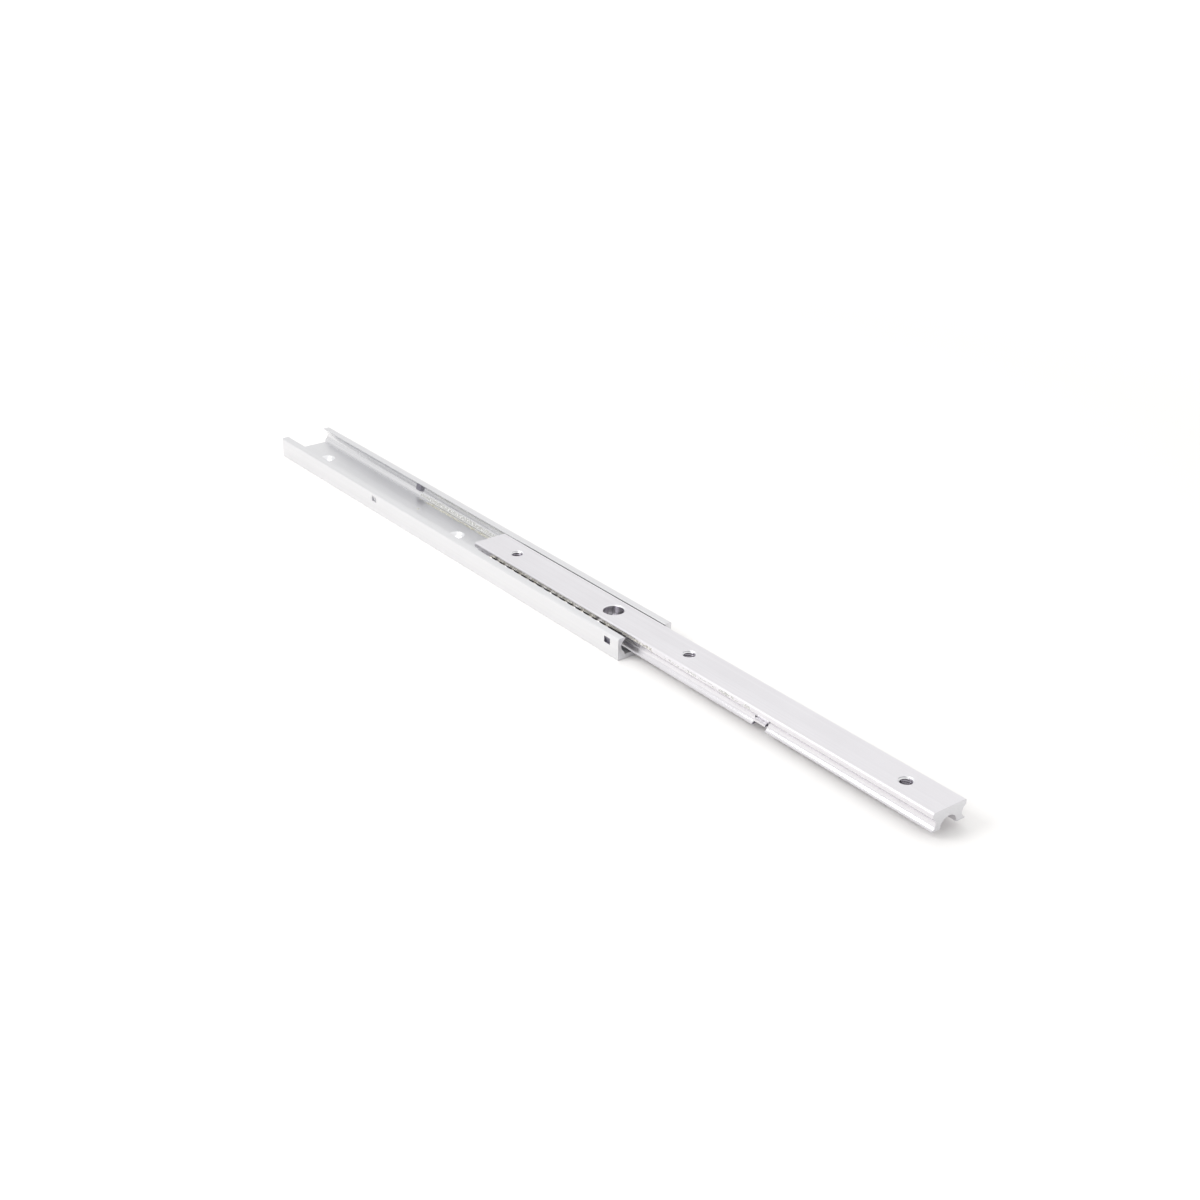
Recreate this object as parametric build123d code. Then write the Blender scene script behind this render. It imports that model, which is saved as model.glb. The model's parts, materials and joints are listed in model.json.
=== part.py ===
from build123d import *
import os
from math import acos, atan2, cos, degrees, hypot, radians, sin, sqrt

# Miniature drawer slide, drawn fully extended. Millimetres.
# Origin: centre of the outer rail's mounting face, on its middle screw hole.
# +X is the way the slide opens, +Z points from the cabinet side to the drawer side.

# --- Travel and balls ---
RAIL_LENGTH = 200.0
STROKE = 120.0
BALL_DIAMETER = 3.969            # 5/32 inch
BALL_PITCH = 4.02                # a full row, each ball almost touching the next
BALLS_PER_ROW = 16
FIRST_BALL_X = 29.1              # rearmost ball of a row, with the slide open
ROW_Y = 6.8                      # from the centreline to the ball centres
ROW_Z = 4.4                      # ball centres above the mounting face

# --- Ball grooves: one radius, set back a little from the balls for a running clearance ---
GROOVE_RADIUS = 2.06
GROOVE_SETBACK = 0.04

# --- Outer rail section ---
OUTER_WIDTH = 20.0
OUTER_HEIGHT = 7.0
WEB = 1.6                        # thickness of the floor
MOUTH_HALF = 7.35                # half the gap between the top lips
MOUTH_BEVEL = 0.2
FLANGE_FOOT_HALF = 7.6           # half the floor's width between the flanges
GROOVE_LOW_Z = 2.2               # where the groove's lower flank meets the flange foot
TOP_CORNER_RADIUS = 0.6
FOOT_CORNER_RADIUS = 0.2

# --- Inner rail section ---
INNER_WIDTH = 12.0
INNER_TOP_Z = 7.8
INNER_CORNER_RADIUS = 0.5
INNER_BOTTOM_Z = 2.2
LIP_TIP_HALF = 5.95              # half width over the lower lips
LIP_TIP_BEVEL = 0.2
ARCH_RADIUS = 2.95               # round groove along the underside

# --- Outer rail holes: M3 countersunk screws, heads inside ---
OUTER_HOLE_SPACING = 85.0
SCREW_CLEARANCE_DIAMETER = 3.4
COUNTERSINK_DIAMETER = 5.6

# --- Inner rail holes, measured from its rear end ---
INNER_TAPPED_X = (15.0, 100.0, 185.0)
TAPPING_DIAMETER = 3.3           # M4, drawn at the thread's minor diameter
TAPPED_RIM_DIAMETER = 4.4
ACCESS_X = 65.0                  # comes over the outer rail's front screw when open
ACCESS_DIAMETER = 6.4
ACCESS_RIM_DIAMETER = 7.0

# --- Outer rail stops: square slugs half sheared inward out of both flanges, tilted in at the bottom ---
SLUG_LENGTH = 2.75
SLUG_HEIGHT = 2.0
SLUG_TOP_SHIFT = 0.2             # depth of the pocket left outside, at its top edge
SLUG_BOTTOM_SHIFT = 0.85         # and at its bottom edge
SLUG_TOP_FACE_Y = 8.35           # how close the slug comes to the centreline, at its top edge
SLUG_BOTTOM_FACE_Y = 7.9         # and at its bottom edge
SLUG_Z = 4.65
SLUG_X = (-35.9, 94.7)           # rear and front stop

# --- Inner rail stops: tongues raised out of the lower lips ---
NOTCH_LENGTH = 5.2
NOTCH_TOP_Z = 4.85
NOTCH_ROOT_Y = 3.8               # the notch and the tongue start this far from the centreline
TONGUE_GAP = 0.3                 # slit on the side that faces the balls
TONGUE_BACK_GAP = 0.4            # wider slit behind the tongue
TONGUE_UNDER_Z = 3.4
TONGUE_TIP_THICKNESS = 0.55      # the top slopes up from the tip to the notch's ceiling
TONGUE_TIP_Y = 5.5
FRONT_NOTCH_X = 133.7            # ball side of the front notch, from the rail's rear end
REAR_NOTCH_X = 6.8               # ball side of the rear notch, from the rail's rear end

# --- Derived sizes ---
OUTER_REAR_X = -RAIL_LENGTH / 2
INNER_REAR_X = OUTER_REAR_X + STROKE
OUTER_GROOVE = (ROW_Y - GROOVE_SETBACK, ROW_Z)
INNER_GROOVE = (ROW_Y + GROOVE_SETBACK, ROW_Z)


def on_circle(centre, radius, angle):
    """Point of a circle in the section plane, at an angle in degrees from +Y."""
    return (centre[0] + radius * cos(radians(angle)), centre[1] + radius * sin(radians(angle)))


def touch_angle(centre, radius, point, side):
    """Angle at which a straight line from a point outside the circle touches it."""
    dy = point[0] - centre[0]
    dz = point[1] - centre[1]
    return degrees(atan2(dz, dy)) - side * degrees(acos(radius / hypot(dy, dz)))


def groove_arc(centre, first, last):
    """The groove's round wall, through three angles."""
    middle = (first + last) / 2
    points = [on_circle(centre, GROOVE_RADIUS, angle) for angle in (first, middle, last)]
    return ThreePointArc(*points)


def corner(start, middle_of_circle, radius, angle, end):
    """A rounded outside corner, bulging at the given angle."""
    return ThreePointArc(start, on_circle(middle_of_circle, radius, angle), end)


def both_halves(half_outline):
    """Whole section, from the outline of its +Y half."""
    half = make_face(half_outline)
    return half + mirror(half, about=Plane.YZ)


def extruded_along_x(section, rear_x, length):
    """A section, drawn as (Y, Z), pulled out along X from rear_x."""
    start = Plane(origin=(rear_x, 0, 0), x_dir=(0, 1, 0), z_dir=(1, 0, 0))
    return extrude(start * section, amount=length)


def prism(corners, low_x, high_x):
    """Straight-sided bar along X, from the corners of its section."""
    sides = Polyline(*corners, close=True)
    return extruded_along_x(make_face(sides), low_x, high_x - low_x)


def hole_bottom_up(x, z, radius, height):
    """Round cutter standing on height z."""
    return Pos(x, 0, z) * Cylinder(radius, height, align=(Align.CENTER, Align.CENTER, Align.MIN))


def rim_cone(x, top_z, small_diameter, rim_diameter):
    """45 degree cutter that opens a hole out to its rim at top_z."""
    depth = (rim_diameter - small_diameter) / 2
    cone = Cone(small_diameter / 2, rim_diameter / 2, depth, align=(Align.CENTER, Align.CENTER, Align.MAX))
    return Pos(x, 0, top_z) * cone


def box_between(low, high):
    """Box from its low corner to its high corner."""
    size = [high[i] - low[i] for i in range(3)]
    return Pos(*low) * Box(*size, align=(Align.MIN, Align.MIN, Align.MIN))


def on_both_sides(solid):
    """A feature of the +Y side together with its mirror image."""
    return [solid, mirror(solid, about=Plane.XZ)]


def outer_half_outline():
    """+Y half of the outer rail: floor, flange, inward lip and ball groove."""
    side = OUTER_WIDTH / 2
    foot = FOOT_CORNER_RADIUS
    top = TOP_CORNER_RADIUS
    lip_edge = (MOUTH_HALF, OUTER_HEIGHT - MOUTH_BEVEL)
    flange_foot = (FLANGE_FOOT_HALF, GROOVE_LOW_Z)
    upper = touch_angle(OUTER_GROOVE, GROOVE_RADIUS, lip_edge, 1)
    lower = touch_angle(OUTER_GROOVE, GROOVE_RADIUS, flange_foot, -1)
    return [
        Line((0, 0), (side - foot, 0)),
        corner((side - foot, 0), (side - foot, foot), foot, -45, (side, foot)),
        Line((side, foot), (side, OUTER_HEIGHT - top)),
        corner((side, OUTER_HEIGHT - top), (side - top, OUTER_HEIGHT - top), top, 45, (side - top, OUTER_HEIGHT)),
        Line((side - top, OUTER_HEIGHT), (MOUTH_HALF + MOUTH_BEVEL, OUTER_HEIGHT)),
        Line((MOUTH_HALF + MOUTH_BEVEL, OUTER_HEIGHT), lip_edge),
        Line(lip_edge, on_circle(OUTER_GROOVE, GROOVE_RADIUS, upper)),
        groove_arc(OUTER_GROOVE, upper, lower),
        Line(on_circle(OUTER_GROOVE, GROOVE_RADIUS, lower), flange_foot),
        Line(flange_foot, (FLANGE_FOOT_HALF, WEB)),
        Line((FLANGE_FOOT_HALF, WEB), (0, WEB)),
        Line((0, WEB), (0, 0)),
    ]


def inner_half_outline():
    """+Y half of the inner rail: flat top, side lip, ball groove, lower lip and underside arch."""
    side = INNER_WIDTH / 2
    top = INNER_CORNER_RADIUS
    upper = 180 - degrees(acos((INNER_GROOVE[0] - side) / GROOVE_RADIUS))
    lower = 180 + degrees(acos((INNER_GROOVE[0] - LIP_TIP_HALF) / GROOVE_RADIUS))
    lip_top = on_circle(INNER_GROOVE, GROOVE_RADIUS, lower)
    lip_side = (LIP_TIP_HALF, INNER_BOTTOM_Z + LIP_TIP_BEVEL)
    lip_foot = (LIP_TIP_HALF - LIP_TIP_BEVEL, INNER_BOTTOM_Z)
    arch_side = (ARCH_RADIUS, INNER_BOTTOM_Z)
    arch_top = (0, INNER_BOTTOM_Z + ARCH_RADIUS)
    return [
        Line((0, INNER_TOP_Z), (side - top, INNER_TOP_Z)),
        corner((side - top, INNER_TOP_Z), (side - top, INNER_TOP_Z - top), top, 45, (side, INNER_TOP_Z - top)),
        Line((side, INNER_TOP_Z - top), on_circle(INNER_GROOVE, GROOVE_RADIUS, upper)),
        groove_arc(INNER_GROOVE, upper, lower),
        Line(lip_top, lip_side),
        Line(lip_side, lip_foot),
        Line(lip_foot, arch_side),
        ThreePointArc(arch_side, on_circle((0, INNER_BOTTOM_Z), ARCH_RADIUS, 45), arch_top),
        Line(arch_top, (0, INNER_TOP_Z)),
    ]


def make_outer_rail():
    """Channel with three countersunk holes and four half-sheared stops."""
    rail = extruded_along_x(both_halves(outer_half_outline()), OUTER_REAR_X, RAIL_LENGTH)
    for x in (-OUTER_HOLE_SPACING, 0, OUTER_HOLE_SPACING):
        rail -= hole_bottom_up(x, 0, SCREW_CLEARANCE_DIAMETER / 2, WEB)
        rail -= rim_cone(x, WEB, SCREW_CLEARANCE_DIAMETER, COUNTERSINK_DIAMETER)
    side = OUTER_WIDTH / 2
    low_z = SLUG_Z - SLUG_HEIGHT / 2
    high_z = SLUG_Z + SLUG_HEIGHT / 2
    pocket_top = (side - SLUG_TOP_SHIFT, high_z)
    pocket_bottom = (side - SLUG_BOTTOM_SHIFT, low_z)
    pocket_corners = [(side, low_z), (side, high_z), pocket_top, pocket_bottom]
    slug_corners = [pocket_bottom, pocket_top, (SLUG_TOP_FACE_Y, high_z), (SLUG_BOTTOM_FACE_Y, low_z)]
    for x in SLUG_X:
        low_x = x - SLUG_LENGTH / 2
        high_x = x + SLUG_LENGTH / 2
        rail += on_both_sides(prism(slug_corners, low_x, high_x))
        rail -= on_both_sides(prism(pocket_corners, low_x, high_x))
    return rail


def raised_tongue(rail, ball_side_x, away):
    """Cut a notch in both lower lips and leave a raised tongue in each; away is +1 or -1 along X."""
    notch_x = sorted((ball_side_x, ball_side_x + away * NOTCH_LENGTH))
    tongue_x = sorted((ball_side_x + away * TONGUE_GAP, ball_side_x + away * (NOTCH_LENGTH - TONGUE_BACK_GAP)))
    tongue_corners = [
        (NOTCH_ROOT_Y, TONGUE_UNDER_Z),
        (TONGUE_TIP_Y, TONGUE_UNDER_Z),
        (TONGUE_TIP_Y, TONGUE_UNDER_Z + TONGUE_TIP_THICKNESS),
        (NOTCH_ROOT_Y, NOTCH_TOP_Z),
    ]
    notch = box_between((notch_x[0], NOTCH_ROOT_Y, INNER_BOTTOM_Z), (notch_x[1], INNER_WIDTH / 2, NOTCH_TOP_Z))
    rail -= on_both_sides(notch)
    rail += on_both_sides(prism(tongue_corners, tongue_x[0], tongue_x[1]))
    return rail


def make_inner_rail():
    """Bar with three tapped holes, one access hole and four raised stops."""
    rail = extruded_along_x(both_halves(inner_half_outline()), INNER_REAR_X, RAIL_LENGTH)
    height = INNER_TOP_Z - INNER_BOTTOM_Z
    for local_x in INNER_TAPPED_X:
        x = INNER_REAR_X + local_x
        rail -= hole_bottom_up(x, INNER_BOTTOM_Z, TAPPING_DIAMETER / 2, height)
        rail -= rim_cone(x, INNER_TOP_Z, TAPPING_DIAMETER, TAPPED_RIM_DIAMETER)
    access_x = INNER_REAR_X + ACCESS_X
    rail -= hole_bottom_up(access_x, INNER_BOTTOM_Z, ACCESS_DIAMETER / 2, height)
    rail -= rim_cone(access_x, INNER_TOP_Z, ACCESS_DIAMETER, ACCESS_RIM_DIAMETER)
    rail = raised_tongue(rail, INNER_REAR_X + FRONT_NOTCH_X, 1)
    rail = raised_tongue(rail, INNER_REAR_X + REAR_NOTCH_X, -1)
    return rail


def make_ball(index, side):
    """One ball of a row; side is +1 for the left row and -1 for the right row."""
    x = FIRST_BALL_X + index * BALL_PITCH
    return Pos(x, side * ROW_Y, ROW_Z) * Sphere(BALL_DIAMETER / 2)


def save(node, shape):
    """Write one named piece."""
    export_step(shape, f"parts/{node}.step")


os.makedirs("parts", exist_ok=True)
save("outer_rail", make_outer_rail())
save("inner_rail", make_inner_rail())
for row_name, row_side in (("left", 1), ("right", -1)):
    for ball_index in range(BALLS_PER_ROW):
        save(f"ball_{row_name}_{ball_index + 1:02d}", make_ball(ball_index, row_side))
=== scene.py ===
import json
import math

import bmesh
import bpy
from mathutils import Matrix, Vector, noise


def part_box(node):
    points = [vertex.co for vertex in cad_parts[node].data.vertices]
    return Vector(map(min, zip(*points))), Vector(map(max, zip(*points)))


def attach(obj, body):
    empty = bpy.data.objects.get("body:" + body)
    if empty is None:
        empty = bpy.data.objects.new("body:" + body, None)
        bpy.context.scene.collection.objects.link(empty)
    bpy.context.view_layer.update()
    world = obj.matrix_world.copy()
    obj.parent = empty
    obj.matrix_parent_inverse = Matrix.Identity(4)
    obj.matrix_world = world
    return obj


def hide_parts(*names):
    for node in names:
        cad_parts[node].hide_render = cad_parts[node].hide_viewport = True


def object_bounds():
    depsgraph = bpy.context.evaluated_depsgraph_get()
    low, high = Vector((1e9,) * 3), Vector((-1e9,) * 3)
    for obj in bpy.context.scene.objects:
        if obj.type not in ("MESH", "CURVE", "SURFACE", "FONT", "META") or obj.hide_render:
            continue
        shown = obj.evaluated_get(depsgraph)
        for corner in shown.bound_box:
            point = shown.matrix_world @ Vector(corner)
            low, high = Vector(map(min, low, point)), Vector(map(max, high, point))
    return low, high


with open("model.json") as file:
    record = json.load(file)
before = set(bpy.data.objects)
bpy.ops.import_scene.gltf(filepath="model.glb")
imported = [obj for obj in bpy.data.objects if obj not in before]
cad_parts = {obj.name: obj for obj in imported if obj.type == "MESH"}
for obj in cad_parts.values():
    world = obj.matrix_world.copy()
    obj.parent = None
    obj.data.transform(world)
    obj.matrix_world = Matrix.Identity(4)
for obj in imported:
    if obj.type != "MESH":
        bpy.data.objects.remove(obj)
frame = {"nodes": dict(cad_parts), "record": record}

# Looks of the miniature drawer slide. Lengths are metres; MM turns millimetres into metres.
MM = 0.001
CAD_LOW, CAD_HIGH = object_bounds()

# --- Camera: the reference view, given round the middle of the object ---
CAMERA_AZIMUTH = 51.93
CAMERA_ELEVATION = 25.98
CAMERA_ROLL = 0.99
CAMERA_DISTANCE = 562.9 * MM
CAMERA_AIM = Vector((10.99, 5.70, -0.02)) * MM      # from the middle of the object to the point aimed at
CAMERA_LENS = 54.97
CAMERA_SENSOR = 36.0

# --- Machined edges ---
WELD = 0.002 * MM
ON_PLANE = 0.0001 * MM                             # points this near a cutting plane lie on it
FLAT_ANGLE = 0.6                                   # degrees; facets flatter than this are one face
SHARP_ANGLE = 32.0                                 # degrees; edges sharper than this are rounded
EDGE_ROUND = 0.07 * MM
EDGE_STEPS = 2

# --- The rails' working shapes ---
BALL_Z = 4.4 * MM                                  # ball centres above the mounting face
GROOVE_RADIUS = 2.06 * MM
GROOVE_REACH = 0.004 * MM                          # how far off the circle a point of the wall may be found
GROOVE_CUTS = 24                                   # splits in half a turn
OUTER_GROOVE_Y = 6.76 * MM                         # centres of the round ball grooves
INNER_GROOVE_Y = 6.84 * MM
WEB_TOP_Z = 1.6 * MM
FLANGE_FOOT_Y = 7.6 * MM
OUTER_SIDE_Y = 10.0 * MM
INNER_SIDE_Y = 6.0 * MM
STOP_X = (-35.9 * MM, 94.7 * MM)                   # middles of the punched stops in the outer rail
STOP_HALF_LENGTH = 1.375 * MM
SLUG_ROOT_Y = 8.75 * MM                            # the slugs stand inside this, the pockets outside
COUNTERSINK_RADIUS = 2.8 * MM
STOP_LOW_Z = 3.65 * MM
STOP_HIGH_Z = 5.65 * MM
NOTCH_X = ((21.6 * MM, 26.8 * MM), (153.7 * MM, 158.9 * MM))
NOTCH_ROOT_Y = 3.8 * MM
NOTCH_TOP_Z = 4.85 * MM
REACH = 0.03 * MM                                  # how far off a punched or drilled face may be found

# --- Grease ---
GREASE_LOOKS = {                                   # pale tone, deep tone and clearness
    "yellow": ((0.95, 0.94, 0.86, 1), (0.86, 0.83, 0.62, 1), 0.35),
    "pale": ((0.97, 0.97, 0.96, 1), (0.82, 0.82, 0.78, 1), 0.45),
    "stale": ((0.93, 0.92, 0.88, 1), (0.50, 0.47, 0.41, 1), 0.35),
}
TRACK_ANGLES = (-66.0, -28.0)                      # part of the left groove that is smeared, from +Y
CORNER_START_Y = 6.5 * MM
LIP_LOW_Z = 6.28 * MM
LIP_HIGH_Z = 7.3 * MM
# Name, strip, body, ends along X and thickness in millimetres, cover, noise along and across,
# seed, mesh step in millimetres and finish.
SMEARS = (
    ("grease_left_track", "left_track", "outer", (-34.0, 20.0), 0.025, 0.25, 0.9, 1.6, 3.0, 0.35, "pale"),
    ("grease_left_corner", "left_corner", "outer", (-34.0, 20.0), 0.16, 0.30, 0.6, 1.6, 8.0, 0.35, "yellow"),
    ("grease_right_lip", "right_lip", "inner", (86.0, 112.0), 0.09, 0.35, 0.9, 2.0, 12.0, 0.30, "stale"),
    ("grease_right_lip_rear", "right_lip", "inner", (27.0, 88.0), 0.05, 0.30, 0.7, 1.6, 14.0, 0.35, "stale"),
    ("grease_right_lip_thin", "right_lip", "inner", (112.0, 152.0), 0.05, -0.05, 0.5, 2.0, 17.0, 0.35, "pale"),
)
DAB_THICKNESS = 0.08 * MM
FILM_ROOT = 0.012 * MM                             # how deep a film is rooted in the metal
WEB_DABS = (                                       # name, X, Y and half length in millimetres, seed
    ("grease_dab_web_a", -44.5, -3.3, 0.9, 31.0),
    ("grease_dab_web_b", -26.0, 1.5, 0.5, 35.0),
)

LIP_DABS = (                                       # name, X and half length in millimetres, seed
    ("grease_dab_lip", 142.0, 2.6, 25.0),
    ("grease_dab_notch", 151.3, 1.8, 21.0),
)

# --- Glowing floor below the outer rail's screw holes, painted light ---
SCREW_HOLE_X = (-85.0 * MM, 0.0, 85.0 * MM)
PATCH_RADIUS = 3.5 * MM
PATCH_SIDES = 48

# --- Studio ---
FLOOR_HALF = 2.5                                   # metres
FLOOR_GAP = 0.02 * MM                              # floor below the mounting face
FLOOR_TONES = ((0.950, 0.938, 0.925, 1), (0.965, 0.955, 0.945, 1))
SKY_STRENGTH = 0.92
SOFTBOXES = (                                      # name, place and size in metres, power in watts
    ("key_softbox", (-0.30, 0.30, 0.90), 0.6, 0.8),
    ("front_softbox", (-0.02, -0.36, 0.34), 0.25, 0.9),
)

# --- Far floor, lifted to the white of the floor round the slide ---
GLOW_START = 0.30
GLOW_FULL = 0.80
GLOW_STRENGTH = 0.20

# --- Dark and light tones of the aluminium ---
OUTER_TONES = ((0.75, 0.75, 0.762, 1), (0.80, 0.80, 0.812, 1))
INNER_TONES = ((0.755, 0.74, 0.765, 1), (0.84, 0.825, 0.85, 1))
SAWN_TONES = ((0.62, 0.62, 0.64, 1), (0.76, 0.76, 0.78, 1))
# Hole walls: the access hole's wall is painted light, the threads are painted dark as shade.
BORE_PAINTED_LIGHT_TONES = ((0.72, 0.69, 0.75, 1), (0.94, 0.92, 0.95, 1))
THREAD_PAINTED_SHADE_TONES = ((0.22, 0.20, 0.24, 1), (0.44, 0.42, 0.46, 1))

# --- Which material each face takes ---
SKIN, EDGE, BORE, SHEARED_SHADED, THREAD = range(5)

# --- M4 threads of the inner rail ---
THREAD_PITCH = 0.7 * MM
THREAD_MAJOR_RADIUS = 2.0 * MM
THREAD_INSIDE_RADIUS = 1.45 * MM                   # the cutter starts inside the open bore
THREAD_FLANK = math.tan(math.radians(30))
THREAD_STEPS = 40                                  # sides of the helix per turn
THREAD_HOLES = ("rear_tapped_hole", "middle_tapped_hole", "front_tapped_hole")

# --- Holes of the inner rail ---
HOLE_RIM = {                                       # radius and depth of each opened-out rim
    "rear_tapped_hole": (2.2 * MM, 0.55 * MM),
    "middle_tapped_hole": (2.2 * MM, 0.55 * MM),
    "front_tapped_hole": (2.2 * MM, 0.55 * MM),
    "access_hole": (3.5 * MM, 0.3 * MM),
}
FLAT_FACE = 0.95                                   # how squarely a flat face looks along its axis

OUTER_LOW, OUTER_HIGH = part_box("outer_rail")
INNER_LOW, INNER_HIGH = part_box("inner_rail")
MOUNTS = {mount["name"]: mount for mount in frame["record"]["mounts"]}


# ---------------------------------------------------------------- node helpers

class Graph:
    """Short calls for building one material's nodes."""

    def __init__(self, name):
        self.material = bpy.data.materials.new(name)
        self.material.use_nodes = True
        self.tree = self.material.node_tree
        self.shader = self.tree.nodes["Principled BSDF"]
        self.position = self.add("ShaderNodeTexCoord").outputs["Object"]

    def add(self, kind, **settings):
        node = self.tree.nodes.new(kind)
        for key, value in settings.items():
            setattr(node, key, value)
        return node

    def put(self, value, socket):
        """Link a node's output to a socket, or set the socket's constant."""
        if isinstance(value, bpy.types.NodeSocket):
            self.tree.links.new(value, socket)
        else:
            socket.default_value = value

    def math(self, operation, a, b=0.0, clamp=False):
        node = self.add("ShaderNodeMath", operation=operation, use_clamp=clamp)
        self.put(a, node.inputs[0])
        self.put(b, node.inputs[1])
        return node.outputs[0]

    def stretched(self, scale):
        """Object position scaled by three factors, in features per metre."""
        node = self.add("ShaderNodeMapping")
        self.put(self.position, node.inputs["Vector"])
        node.inputs["Scale"].default_value = scale
        return node.outputs["Vector"]

    def noise(self, scale, detail=3.0, roughness=0.5, distortion=0.0):
        node = self.add("ShaderNodeTexNoise")
        self.put(self.stretched(scale), node.inputs["Vector"])
        node.inputs["Scale"].default_value = 1.0
        node.inputs["Detail"].default_value = detail
        node.inputs["Roughness"].default_value = roughness
        node.inputs["Distortion"].default_value = distortion
        return node.outputs["Fac"]

    def remap(self, value, low, high, to_low, to_high):
        node = self.add("ShaderNodeMapRange", clamp=True)
        self.put(value, node.inputs["Value"])
        node.inputs["From Min"].default_value = low
        node.inputs["From Max"].default_value = high
        node.inputs["To Min"].default_value = to_low
        node.inputs["To Max"].default_value = to_high
        return node.outputs["Result"]

    def mix(self, factor, a, b):
        node = self.add("ShaderNodeMix", data_type="RGBA")
        self.put(factor, node.inputs["Factor"])
        self.put(a, node.inputs["A"])
        self.put(b, node.inputs["B"])
        return node.outputs["Result"]

    def bump(self, height, distance, strength=1.0, after=None):
        node = self.add("ShaderNodeBump")
        self.put(height, node.inputs["Height"])
        node.inputs["Distance"].default_value = distance
        node.inputs["Strength"].default_value = strength
        if after is not None:
            self.put(after, node.inputs["Normal"])
        return node.outputs["Normal"]

    def parts(self, vector):
        """The X, Y and Z of a vector."""
        node = self.add("ShaderNodeSeparateXYZ")
        self.put(vector, node.inputs[0])
        return node.outputs

    def length(self, a, b):
        """Length of a line with these two sides."""
        square = self.math("ADD", self.math("MULTIPLY", a, a), self.math("MULTIPLY", b, b))
        return self.math("SQRT", square)

    def nearer_than(self, distance, limit, blur):
        """1 below the limit, 0 above it, with a soft step between."""
        return self.remap(distance, limit - blur, limit + blur, 1.0, 0.0)

    def sawn_ends(self, low_x, high_x):
        """1 on the rail's two end faces, 0 elsewhere."""
        x = self.parts(self.position)["X"]
        middle = (low_x + high_x) / 2
        from_middle = self.math("ABSOLUTE", self.math("SUBTRACT", x, middle))
        half = (high_x - low_x) / 2
        return self.remap(from_middle, half - 0.02 * MM, half - 0.01 * MM, 0.0, 1.0)

    def ball_tracks(self, centre_y, centre_z, radius):
        """1 on the round walls the balls roll on, fading over the groove's edges."""
        place = self.parts(self.position)
        aside = self.math("SUBTRACT", self.math("ABSOLUTE", place["Y"]), centre_y)
        above = self.math("SUBTRACT", place["Z"], centre_z)
        from_wall = self.math("ABSOLUTE", self.math("SUBTRACT", self.length(aside, above), radius))
        return self.nearer_than(from_wall, 0.05 * MM, 0.02 * MM)


# ---------------------------------------------------------------- materials

def anodised(name, ends, groove_y, dark, light, roughness, line_depth):
    """Satin clear-anodised extrusion: die lines along the rail, burnished ball tracks and sawn ends."""
    g = Graph(name)
    fine_lines = g.noise((9.0, 4200.0, 4200.0), detail=4.0, roughness=0.65)
    broad_lines = g.noise((4.0, 900.0, 900.0), detail=3.0)
    clouds = g.noise((70.0, 160.0, 160.0), detail=4.0)
    grain = g.noise((9000.0, 9000.0, 9000.0), detail=2.0)
    saw_marks = g.noise((1.0, 1400.0, 11000.0), detail=3.0, distortion=0.4)
    sawn = g.sawn_ends(*ends)
    rolled = g.ball_tracks(groove_y, BALL_Z, GROOVE_RADIUS)

    tone = g.math("ADD", g.math("MULTIPLY", fine_lines, 0.4), g.math("MULTIPLY", broad_lines, 0.6))
    tone = g.remap(tone, 0.34, 0.66, 0.0, 1.0)
    tone = g.math("ADD", g.math("MULTIPLY", tone, 0.6), g.math("MULTIPLY", clouds, 0.4))
    sawn_colour = g.mix(saw_marks, *SAWN_TONES)
    g.put(g.mix(sawn, g.mix(tone, dark, light), sawn_colour), g.shader.inputs["Base Color"])

    rough = g.math("ADD", roughness - 0.05, g.math("MULTIPLY", clouds, 0.10))
    rough = g.math("SUBTRACT", rough, g.math("MULTIPLY", rolled, 0.10))
    g.put(rough, g.shader.inputs["Roughness"])
    g.shader.inputs["Metallic"].default_value = 0.92

    lines = g.math("MULTIPLY", fine_lines, g.math("SUBTRACT", 1.0, sawn))
    marks = g.math("MULTIPLY", saw_marks, sawn)
    normal = g.bump(lines, line_depth)
    normal = g.bump(marks, 0.010 * MM, after=normal)
    normal = g.bump(grain, 0.0015 * MM, after=normal)
    g.put(normal, g.shader.inputs["Normal"])
    return g.material


def bright_cut_and_highlight(name):
    """Bare machined aluminium of the rounded edges and hole rims, lighter than the skin as a painted
    highlight.
    """
    g = Graph(name)
    marks = g.noise((1500.0, 1500.0, 9000.0), detail=3.0)
    g.put(g.mix(marks, (0.84, 0.84, 0.86, 1), (0.95, 0.95, 0.96, 1)), g.shader.inputs["Base Color"])
    g.put(g.remap(marks, 0.3, 0.7, 0.30, 0.42), g.shader.inputs["Roughness"])
    g.put(g.bump(marks, 0.003 * MM), g.shader.inputs["Normal"])
    g.shader.inputs["Metallic"].default_value = 1.0
    return g.material


def bore_wall(name, dark, light):
    """Drilled and tapped walls with faint drill chatter down the wall, in the tones given: painted light in
    the access hole, painted shade in the threads.
    """
    g = Graph(name)
    chatter = g.noise((900.0, 900.0, 60.0), detail=3.0)
    rings = g.noise((200.0, 200.0, 9000.0), detail=2.0)
    g.put(g.mix(chatter, dark, light), g.shader.inputs["Base Color"])
    g.put(g.remap(chatter, 0.3, 0.7, 0.22, 0.36), g.shader.inputs["Roughness"])
    g.put(g.bump(rings, 0.004 * MM), g.shader.inputs["Normal"])
    g.shader.inputs["Metallic"].default_value = 1.0
    return g.material


def sheared_metal_painted_shade(name):
    """Torn faces left where the stops were punched, painted dark as shade: the shadowed pockets, slug ends and
    notch walls.
    """
    g = Graph(name)
    tears = g.noise((2600.0, 2600.0, 900.0), detail=4.0, roughness=0.6)
    g.put(g.mix(tears, (0.20, 0.19, 0.23, 1), (0.44, 0.43, 0.48, 1)), g.shader.inputs["Base Color"])
    g.put(g.remap(tears, 0.3, 0.7, 0.40, 0.60), g.shader.inputs["Roughness"])
    g.put(g.bump(tears, 0.02 * MM), g.shader.inputs["Normal"])
    g.shader.inputs["Metallic"].default_value = 0.9
    return g.material


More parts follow.
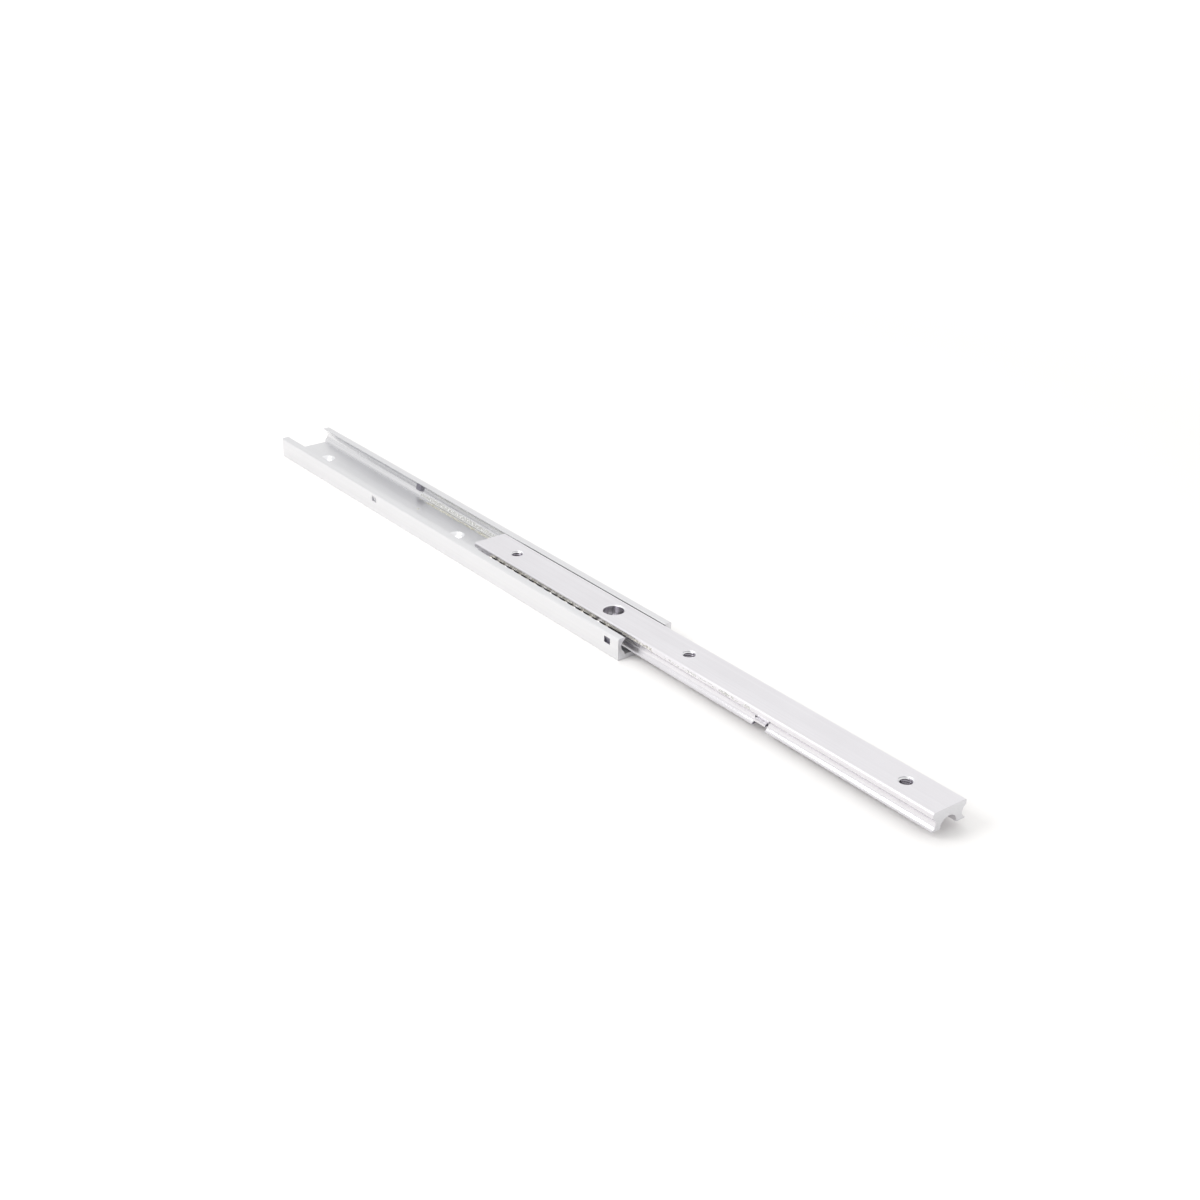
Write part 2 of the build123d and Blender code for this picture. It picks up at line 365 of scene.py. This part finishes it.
def bearing_steel(name):
    """Polished steel balls with a smear of grease."""
    g = Graph(name)
    smear = g.noise((520.0, 420.0, 420.0), detail=4.0, distortion=0.6)
    patches = g.remap(smear, 0.46, 0.60, 0.0, 1.0)
    g.put(g.mix(patches, (0.74, 0.73, 0.71, 1), (0.68, 0.65, 0.57, 1)), g.shader.inputs["Base Color"])
    g.put(g.remap(smear, 0.42, 0.64, 0.09, 0.24), g.shader.inputs["Roughness"])
    g.put(g.bump(smear, 0.006 * MM), g.shader.inputs["Normal"])
    g.shader.inputs["Metallic"].default_value = 1.0
    return g.material


def grease(name, pale, deep, clearness):
    """Thin lithium grease, wet and translucent."""
    g = Graph(name)
    ripples = g.noise((1400.0, 2600.0, 2600.0), detail=4.0, distortion=0.8)
    g.put(g.mix(g.remap(ripples, 0.35, 0.65, 0.0, 1.0), deep, pale), g.shader.inputs["Base Color"])
    g.put(g.remap(ripples, 0.3, 0.7, 0.14, 0.34), g.shader.inputs["Roughness"])
    g.put(g.bump(ripples, 0.02 * MM), g.shader.inputs["Normal"])
    g.shader.inputs["Transmission Weight"].default_value = clearness
    g.shader.inputs["IOR"].default_value = 1.46
    return g.material


# ---------------------------------------------------------------- rails

def link(name, mesh):
    """A new object in the scene, showing this mesh."""
    piece = bpy.data.objects.new(name, mesh)
    bpy.context.scene.collection.objects.link(piece)
    return piece


def edge_angle(edge):
    """Angle between an edge's two faces, in degrees."""
    return math.degrees(edge.calc_face_angle(0.0))


def from_groove_axis(vertex, centre_y):
    """Offset of a point from the nearer ball groove's axis, in the section plane."""
    side = 1.0 if vertex.co.y > 0 else -1.0
    return Vector((0.0, vertex.co.y - side * centre_y, vertex.co.z - BALL_Z))


def on_groove(face, centre_y):
    """True for a facet of a ball groove's round wall."""
    misses = [abs(from_groove_axis(vertex, centre_y).length - GROOVE_RADIUS) for vertex in face.verts]
    return max(misses) < GROOVE_REACH


def round_grooves(bm, centre_y):
    """Split the ball grooves' facets at even angles and set every new point on the true circle."""
    for side in (1, -1):
        axis = Vector((0.0, side * centre_y, BALL_Z))
        for step in range(GROOVE_CUTS):
            angle = math.pi * step / GROOVE_CUTS
            across = Vector((0.0, -math.sin(angle), math.cos(angle)))
            facets = [f for f in bm.faces if f.calc_center_median().y * side > 0 and on_groove(f, centre_y)]
            edges = {edge for facet in facets for edge in facet.edges}
            verts = {vertex for facet in facets for vertex in facet.verts}
            wall = facets + list(edges) + list(verts)
            cut = bmesh.ops.bisect_plane(bm, geom=wall, dist=ON_PLANE, plane_co=axis, plane_no=across)
            for item in cut["geom_cut"]:
                if isinstance(item, bmesh.types.BMVert):
                    offset = from_groove_axis(item, centre_y)
                    item.co += offset.normalized() * (GROOVE_RADIUS - offset.length)


def rounded_copy(node, name, centre_y):
    """The node's shape with its facets merged, its grooves round and every machined edge rounded."""
    bm = bmesh.new()
    bm.from_mesh(frame["nodes"][node].data)
    bmesh.ops.remove_doubles(bm, verts=bm.verts, dist=WELD)
    bmesh.ops.dissolve_limit(bm, angle_limit=math.radians(FLAT_ANGLE), verts=bm.verts, edges=bm.edges)
    round_grooves(bm, centre_y)
    sharp = [edge for edge in bm.edges if edge_angle(edge) > SHARP_ANGLE]
    # The rounded edges take the second material, painted light as edge highlights.
    bmesh.ops.bevel(
        bm, geom=sharp, offset=EDGE_ROUND, offset_type="OFFSET", segments=EDGE_STEPS,
        profile=0.5, affect="EDGES", clamp_overlap=True, material=1,
    )
    mesh = bpy.data.meshes.new(name)
    bm.to_mesh(mesh)
    bm.free()
    return link(name, mesh)


def thread_cutter(centre, low_z, high_z):
    """Closed helical ridge that cuts one M4 thread."""
    half_mouth = (THREAD_MAJOR_RADIUS - THREAD_INSIDE_RADIUS) * THREAD_FLANK
    section = (
        (THREAD_INSIDE_RADIUS, -half_mouth),
        (THREAD_MAJOR_RADIUS, -0.02 * MM),
        (THREAD_MAJOR_RADIUS, 0.02 * MM),
        (THREAD_INSIDE_RADIUS, half_mouth),
    )
    steps = round((high_z - low_z) / THREAD_PITCH * THREAD_STEPS)
    bm = bmesh.new()
    rings = []
    for step in range(steps + 1):
        angle = 2 * math.pi * step / THREAD_STEPS
        z = low_z + THREAD_PITCH * step / THREAD_STEPS
        ring = []
        for radius, dz in section:
            x = centre.x + radius * math.cos(angle)
            y = centre.y + radius * math.sin(angle)
            ring.append(bm.verts.new((x, y, z + dz)))
        rings.append(ring)
    sides = len(section)
    for below, above in zip(rings, rings[1:]):
        for i in range(sides):
            j = (i + 1) % sides
            bm.faces.new((below[i], below[j], above[j], above[i]))
    bm.faces.new(list(reversed(rings[0])))
    bm.faces.new(rings[-1])
    bmesh.ops.recalc_face_normals(bm, faces=bm.faces)
    mesh = bpy.data.meshes.new("thread_cutter")
    bm.to_mesh(mesh)
    bm.free()
    return link("thread_cutter", mesh)


def cut_away(piece, cutter):
    """Subtract the cutter from the piece for good."""
    modifier = piece.modifiers.new("cut", "BOOLEAN")
    modifier.operation = "DIFFERENCE"
    modifier.solver = "EXACT"
    modifier.object = cutter
    evaluated = piece.evaluated_get(bpy.context.evaluated_depsgraph_get())
    mesh = bpy.data.meshes.new_from_object(evaluated)
    piece.modifiers.clear()
    piece.data = mesh
    bpy.data.objects.remove(cutter)


def finish_shading(piece):
    """Smooth curved walls, keep true corners crisp."""
    piece.data.shade_smooth()
    piece.data.set_sharp_from_angle(angle=math.radians(50))
    weighted = piece.modifiers.new("weighted_normals", "WEIGHTED_NORMAL")
    weighted.keep_sharp = True


def paint_bores(piece):
    """Painted light and shade in the holes: the access hole's wall painted light, the threads painted dark as
    shade, the opened-out rims painted bright as highlights.
    """
    for hole, (rim_radius, rim_depth) in HOLE_RIM.items():
        axis = Vector(MOUNTS[hole]["pos_m"])
        for face in piece.data.polygons:
            aside = (face.center - axis).xy.length
            if aside > rim_radius + REACH or abs(face.normal.z) > FLAT_FACE:
                continue
            in_rim = face.center.z > INNER_HIGH.z - rim_depth
            wall = THREAD if hole in THREAD_HOLES else BORE
            face.material_index = EDGE if in_rim else wall


def paint_countersinks(piece):
    """Cones round the outer rail's screw holes, painted bright as a highlight."""
    for x in SCREW_HOLE_X:
        low = Vector((x - COUNTERSINK_RADIUS, -COUNTERSINK_RADIUS, 0.0))
        high = Vector((x + COUNTERSINK_RADIUS, COUNTERSINK_RADIUS, WEB_TOP_Z - 0.05 * MM))
        for face in piece.data.polygons:
            inside = [low[i] < face.center[i] < high[i] for i in range(3)]
            if all(inside) and abs(face.normal.z) < FLAT_FACE:
                face.material_index = EDGE


def paint_inside(piece, low, high, material_index):
    """Give every face whose middle lies in a box one material."""
    for face in piece.data.polygons:
        inside = [low[i] - REACH < face.center[i] < high[i] + REACH for i in range(3)]
        if all(inside):
            face.material_index = material_index


def paint_outer_stops(piece):
    """Torn metal of the punched stops, painted dark as shade: the front pockets, and every slug inside the
    channel.
    """
    deep_y = OUTER_SIDE_Y - EDGE_ROUND - REACH
    for x, painted_y in zip(STOP_X, (SLUG_ROOT_Y, deep_y)):
        low = Vector((x - STOP_HALF_LENGTH, -painted_y, STOP_LOW_Z))
        high = Vector((x + STOP_HALF_LENGTH, painted_y, STOP_HIGH_Z))
        paint_inside(piece, low, high, SHEARED_SHADED)


def paint_notches(piece):
    """Walls of the notches behind the raised tongues, painted dark as shade."""
    for low_x, high_x in NOTCH_X:
        for face in piece.data.polygons:
            x, y, z = face.center
            in_length = low_x - REACH < x < high_x + REACH
            in_height = INNER_LOW.z + EDGE_ROUND < z < NOTCH_TOP_Z + REACH
            in_depth = abs(y) > NOTCH_ROOT_Y - REACH
            if in_length and in_height and in_depth and abs(face.normal.x) > FLAT_FACE:
                face.material_index = SHEARED_SHADED


def make_rail(node, name, body, materials, centre_y):
    """The detailed rail that stands in for a CAD rail."""
    piece = rounded_copy(node, name, centre_y)
    for material in materials:
        piece.data.materials.append(material)
    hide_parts(node)
    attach(piece, body)
    return piece


# ---------------------------------------------------------------- grease

def straight_strip(start, end, normal, steps):
    """Points of a flat surface in the section, each with the way it faces."""
    strip = []
    for i in range(steps + 1):
        part = i / steps
        y = start[0] + (end[0] - start[0]) * part
        z = start[1] + (end[1] - start[1]) * part
        strip.append((y, z, normal[0], normal[1]))
    return strip


def groove_strip(centre_y, side, first, last, steps):
    """Points of a ball groove's wall between two angles, facing the ball; side is +1 or -1."""
    strip = []
    for i in range(steps + 1):
        angle = math.radians(first + (last - first) * i / steps)
        out_y = math.cos(angle) * side
        out_z = math.sin(angle)
        y = side * centre_y + GROOVE_RADIUS * out_y
        z = BALL_Z + GROOVE_RADIUS * out_z
        strip.append((y, z, -out_y, -out_z))
    return strip


def film(name, strip, low_x, high_x, step, height, material, body):
    """Closed thin layer over a strip of the section; where height is negative it dips under the metal."""
    columns = round((high_x - low_x) / step)
    bm = bmesh.new()
    top, bottom = [], []
    for column in range(columns + 1):
        x = low_x + (high_x - low_x) * column / columns
        top_row, bottom_row = [], []
        for i, (y, z, ny, nz) in enumerate(strip):
            rise = max(height(x, i / (len(strip) - 1)), -0.5 * FILM_ROOT)
            top_row.append(bm.verts.new((x, y + ny * rise, z + nz * rise)))
            bottom_row.append(bm.verts.new((x, y - ny * FILM_ROOT, z - nz * FILM_ROOT)))
        top.append(top_row)
        bottom.append(bottom_row)
    rows = len(strip)
    for c in range(columns):
        for r in range(rows - 1):
            bm.faces.new((top[c][r], top[c + 1][r], top[c + 1][r + 1], top[c][r + 1]))
            bm.faces.new((bottom[c][r], bottom[c][r + 1], bottom[c + 1][r + 1], bottom[c + 1][r]))
        for r in (0, rows - 1):
            bm.faces.new((top[c][r], top[c + 1][r], bottom[c + 1][r], bottom[c][r]))
    for c in (0, columns):
        for r in range(rows - 1):
            bm.faces.new((top[c][r], top[c][r + 1], bottom[c][r + 1], bottom[c][r]))
    bmesh.ops.recalc_face_normals(bm, faces=bm.faces)
    mesh = bpy.data.meshes.new(name)
    bm.to_mesh(mesh)
    bm.free()
    mesh.materials.append(material)
    mesh.shade_smooth()
    piece = link(name, mesh)
    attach(piece, body)


def taper(part, width):
    """0 at both ends of a 0 to 1 range, 1 in the middle."""
    return min(1.0, part / width, (1.0 - part) / width)


def mottled(x, part, per_mm_x, per_strip, seed):
    """Noise from about -1 to 1 over a film."""
    return noise.fractal(Vector((x / MM * per_mm_x, part * per_strip, seed)), 1.0, 2.0, 3)


def smear_height(low_x, high_x, thickness, cover, per_mm_x, per_strip, seed):
    """Patchy smear: cover raises how much of the strip is wetted."""
    def height(x, part):
        along = (x - low_x) / (high_x - low_x)
        edge = min(taper(along, 0.12), taper(part, 0.25))
        return thickness * (mottled(x, part, per_mm_x, per_strip, seed) + cover - 1.2 * (1.0 - edge))
    return height


def dab_height(middle_x, half_x, thickness, seed):
    """One lump with an uneven outline."""
    def height(x, part):
        off_x = (x - middle_x) / half_x
        off_part = (part - 0.5) * 2.0
        return thickness * (0.8 - off_x ** 2 - off_part ** 2 + 0.45 * mottled(x, part, 1.5, 2.0, seed))
    return height


def dab_ends(middle_x, half_x):
    """Where a dab's mesh starts and stops, just past its outline."""
    reach = 1.3 * half_x
    return (middle_x - reach) * MM, (middle_x + reach) * MM


def make_grease():
    """The smears left along the raceways, with a few stray dabs."""
    finishes = {name: grease(f"grease_{name}", *look) for name, look in GREASE_LOOKS.items()}
    strips = {
        "left_track": groove_strip(OUTER_GROOVE_Y, 1, *TRACK_ANGLES, 12),
        "left_corner": straight_strip((CORNER_START_Y, WEB_TOP_Z), (FLANGE_FOOT_Y, WEB_TOP_Z), (0.0, 1.0), 10),
        "right_lip": straight_strip((-INNER_SIDE_Y, LIP_LOW_Z), (-INNER_SIDE_Y, LIP_HIGH_Z), (-1.0, 0.0), 8),
    }
    for name, strip, body, ends, thickness, cover, along, across, seed, step, finish in SMEARS:
        low_x, high_x = ends[0] * MM, ends[1] * MM
        height = smear_height(low_x, high_x, thickness * MM, cover, along, across, seed)
        film(name, strips[strip], low_x, high_x, step * MM, height, finishes[finish], body)

    for name, middle_x, half_x, seed in LIP_DABS:
        height = dab_height(middle_x * MM, half_x * MM, DAB_THICKNESS, seed)
        low_x, high_x = dab_ends(middle_x, half_x)
        film(name, strips["right_lip"], low_x, high_x, 0.25 * MM, height, finishes["pale"], "inner")

    for name, middle_x, middle_y, half_x, seed in WEB_DABS:
        near = ((middle_y - half_x) * MM, WEB_TOP_Z)
        far = ((middle_y + half_x) * MM, WEB_TOP_Z)
        height = dab_height(middle_x * MM, half_x * MM, DAB_THICKNESS, seed)
        low_x, high_x = dab_ends(middle_x, half_x)
        spot = straight_strip(near, far, (0.0, 1.0), 8)
        film(name, spot, low_x, high_x, 0.2 * MM, height, finishes["yellow"], "outer")


# ---------------------------------------------------------------- stage

def make_floor(material_name):
    """Pale floor below the slide."""
    g = Graph(material_name)
    tone = g.noise((6.0, 6.0, 6.0), detail=2.0)
    g.put(g.mix(tone, *FLOOR_TONES), g.shader.inputs["Base Color"])
    g.shader.inputs["Roughness"].default_value = 0.85
    g.shader.inputs["Specular IOR Level"].default_value = 0.2
    place = g.parts(g.position)
    lift = g.remap(g.length(place["X"], place["Y"]), GLOW_START, GLOW_FULL, 0.0, GLOW_STRENGTH)
    g.shader.inputs["Emission Color"].default_value = (1.0, 1.0, 1.0, 1.0)
    g.put(lift, g.shader.inputs["Emission Strength"])
    z = CAD_LOW.z - FLOOR_GAP
    corners = [(x * FLOOR_HALF, y * FLOOR_HALF, z) for x, y in ((-1, -1), (1, -1), (1, 1), (-1, 1))]
    mesh = bpy.data.meshes.new("studio_floor")
    mesh.from_pydata(corners, [], [(0, 1, 2, 3)])
    mesh.materials.append(g.material)
    floor = link("studio_floor", mesh)


def make_glowing_patch(name, x, radius):
    """Round glowing patch of floor below a screw hole, painted light: as bright as the open floor round the
    slide, where the rail would shade the floor.
    """
    g = Graph(name)
    g.shader.inputs["Base Color"].default_value = (1.0, 1.0, 1.0, 1.0)
    g.shader.inputs["Emission Color"].default_value = (1.0, 1.0, 1.0, 1.0)
    g.shader.inputs["Emission Strength"].default_value = 1.0
    ring = []
    for i in range(PATCH_SIDES):
        angle = 2 * math.pi * i / PATCH_SIDES
        ring.append((x + radius * math.cos(angle), radius * math.sin(angle), CAD_LOW.z - FLOOR_GAP / 2))
    mesh = bpy.data.meshes.new(name)
    mesh.from_pydata(ring, [], [tuple(range(PATCH_SIDES))])
    mesh.materials.append(g.material)
    link(name, mesh)


def make_world(strength):
    """Even white light from all round."""
    world = bpy.data.worlds.new("studio_world")
    world.use_nodes = True
    background = world.node_tree.nodes["Background"]
    background.inputs["Color"].default_value = (1.0, 1.0, 1.0, 1.0)
    background.inputs["Strength"].default_value = strength
    bpy.context.scene.world = world


def make_softbox(name, position, size, power):
    """Square soft light aimed at the middle of the object."""
    light = bpy.data.lights.new(name, "AREA")
    light.shape = "SQUARE"
    light.size = size
    light.energy = power
    lamp = bpy.data.objects.new(name, light)
    bpy.context.scene.collection.objects.link(lamp)
    lamp.location = position
    middle = (CAD_LOW + CAD_HIGH) / 2
    lamp.rotation_euler = (lamp.location - middle).to_track_quat("Z", "Y").to_euler()


def make_camera():
    """Camera at the reference view."""
    azimuth = math.radians(CAMERA_AZIMUTH)
    elevation = math.radians(CAMERA_ELEVATION)
    roll = math.radians(CAMERA_ROLL)
    level = math.cos(elevation)
    back = Vector((math.sin(azimuth) * level, -math.cos(azimuth) * level, math.sin(elevation)))
    right = Vector((math.cos(azimuth), math.sin(azimuth), 0.0))
    up = back.cross(right)
    tilted_right = right * math.cos(roll) + up * math.sin(roll)
    tilted_up = up * math.cos(roll) - right * math.sin(roll)
    position = (CAD_LOW + CAD_HIGH) / 2 + CAMERA_AIM + back * CAMERA_DISTANCE
    camera_data = bpy.data.cameras.new("camera")
    camera_data.lens = CAMERA_LENS
    camera_data.sensor_width = CAMERA_SENSOR
    camera_data.clip_start = 10 * MM
    camera_data.clip_end = 20.0
    camera = bpy.data.objects.new("camera", camera_data)
    bpy.context.scene.collection.objects.link(camera)
    turn = Matrix((tilted_right, tilted_up, back)).transposed().to_4x4()
    camera.matrix_world = Matrix.Translation(position) @ turn
    bpy.context.scene.camera = camera


# ---------------------------------------------------------------- build

make_camera()
bpy.context.scene.view_settings.view_transform = "Standard"
make_floor("floor_paper")
for index, hole_x in enumerate(SCREW_HOLE_X):
    make_glowing_patch(f"glowing_patch_{index + 1}", hole_x, PATCH_RADIUS)
make_world(SKY_STRENGTH)
for softbox in SOFTBOXES:
    make_softbox(*softbox)

outer_alu = anodised(
    "outer_anodised", (OUTER_LOW.x, OUTER_HIGH.x), OUTER_GROOVE_Y,
    *OUTER_TONES, 0.35, 0.002 * MM,
)
inner_alu = anodised(
    "inner_anodised", (INNER_LOW.x, INNER_HIGH.x), INNER_GROOVE_Y,
    *INNER_TONES, 0.33, 0.005 * MM,
)
# Bare cut metal, painted lighter as a highlight on edges, rims and countersinks.
cut_and_highlight_alu = bright_cut_and_highlight("cut_aluminium_painted_highlight")
# Access hole wall, painted light.
bore_lightened_alu = bore_wall("bored_aluminium_painted_light", *BORE_PAINTED_LIGHT_TONES)
# Thread walls, painted dark as shade.
thread_shaded_alu = bore_wall("threaded_aluminium_painted_shade", *THREAD_PAINTED_SHADE_TONES)
# Torn metal, darkened as painted shade in the punched pockets, slug ends and notches.
torn_and_shaded_alu = sheared_metal_painted_shade("sheared_aluminium_painted_shade")
rail_finishes = (cut_and_highlight_alu, bore_lightened_alu, torn_and_shaded_alu, thread_shaded_alu)

outer_finishes = (outer_alu, *rail_finishes)
outer = make_rail("outer_rail", "outer_rail_detail", "outer", outer_finishes, OUTER_GROOVE_Y)
paint_outer_stops(outer)
paint_countersinks(outer)
finish_shading(outer)

inner_finishes = (inner_alu, *rail_finishes)
inner = make_rail("inner_rail", "inner_rail_detail", "inner", inner_finishes, INNER_GROOVE_Y)
for hole in THREAD_HOLES:
    centre = Vector(MOUNTS[hole]["pos_m"])
    cut_away(inner, thread_cutter(centre, INNER_LOW.z + 1.5 * MM, INNER_HIGH.z + 0.5 * MM))
paint_bores(inner)
paint_notches(inner)
finish_shading(inner)

steel = bearing_steel("bearing_steel")
for body in ("balls_left", "balls_right"):
    for node in frame["record"]["behaviour"]["bodies"][body]:
        ball = frame["nodes"][node]
        ball.data.materials.clear()
        ball.data.materials.append(steel)
make_grease()
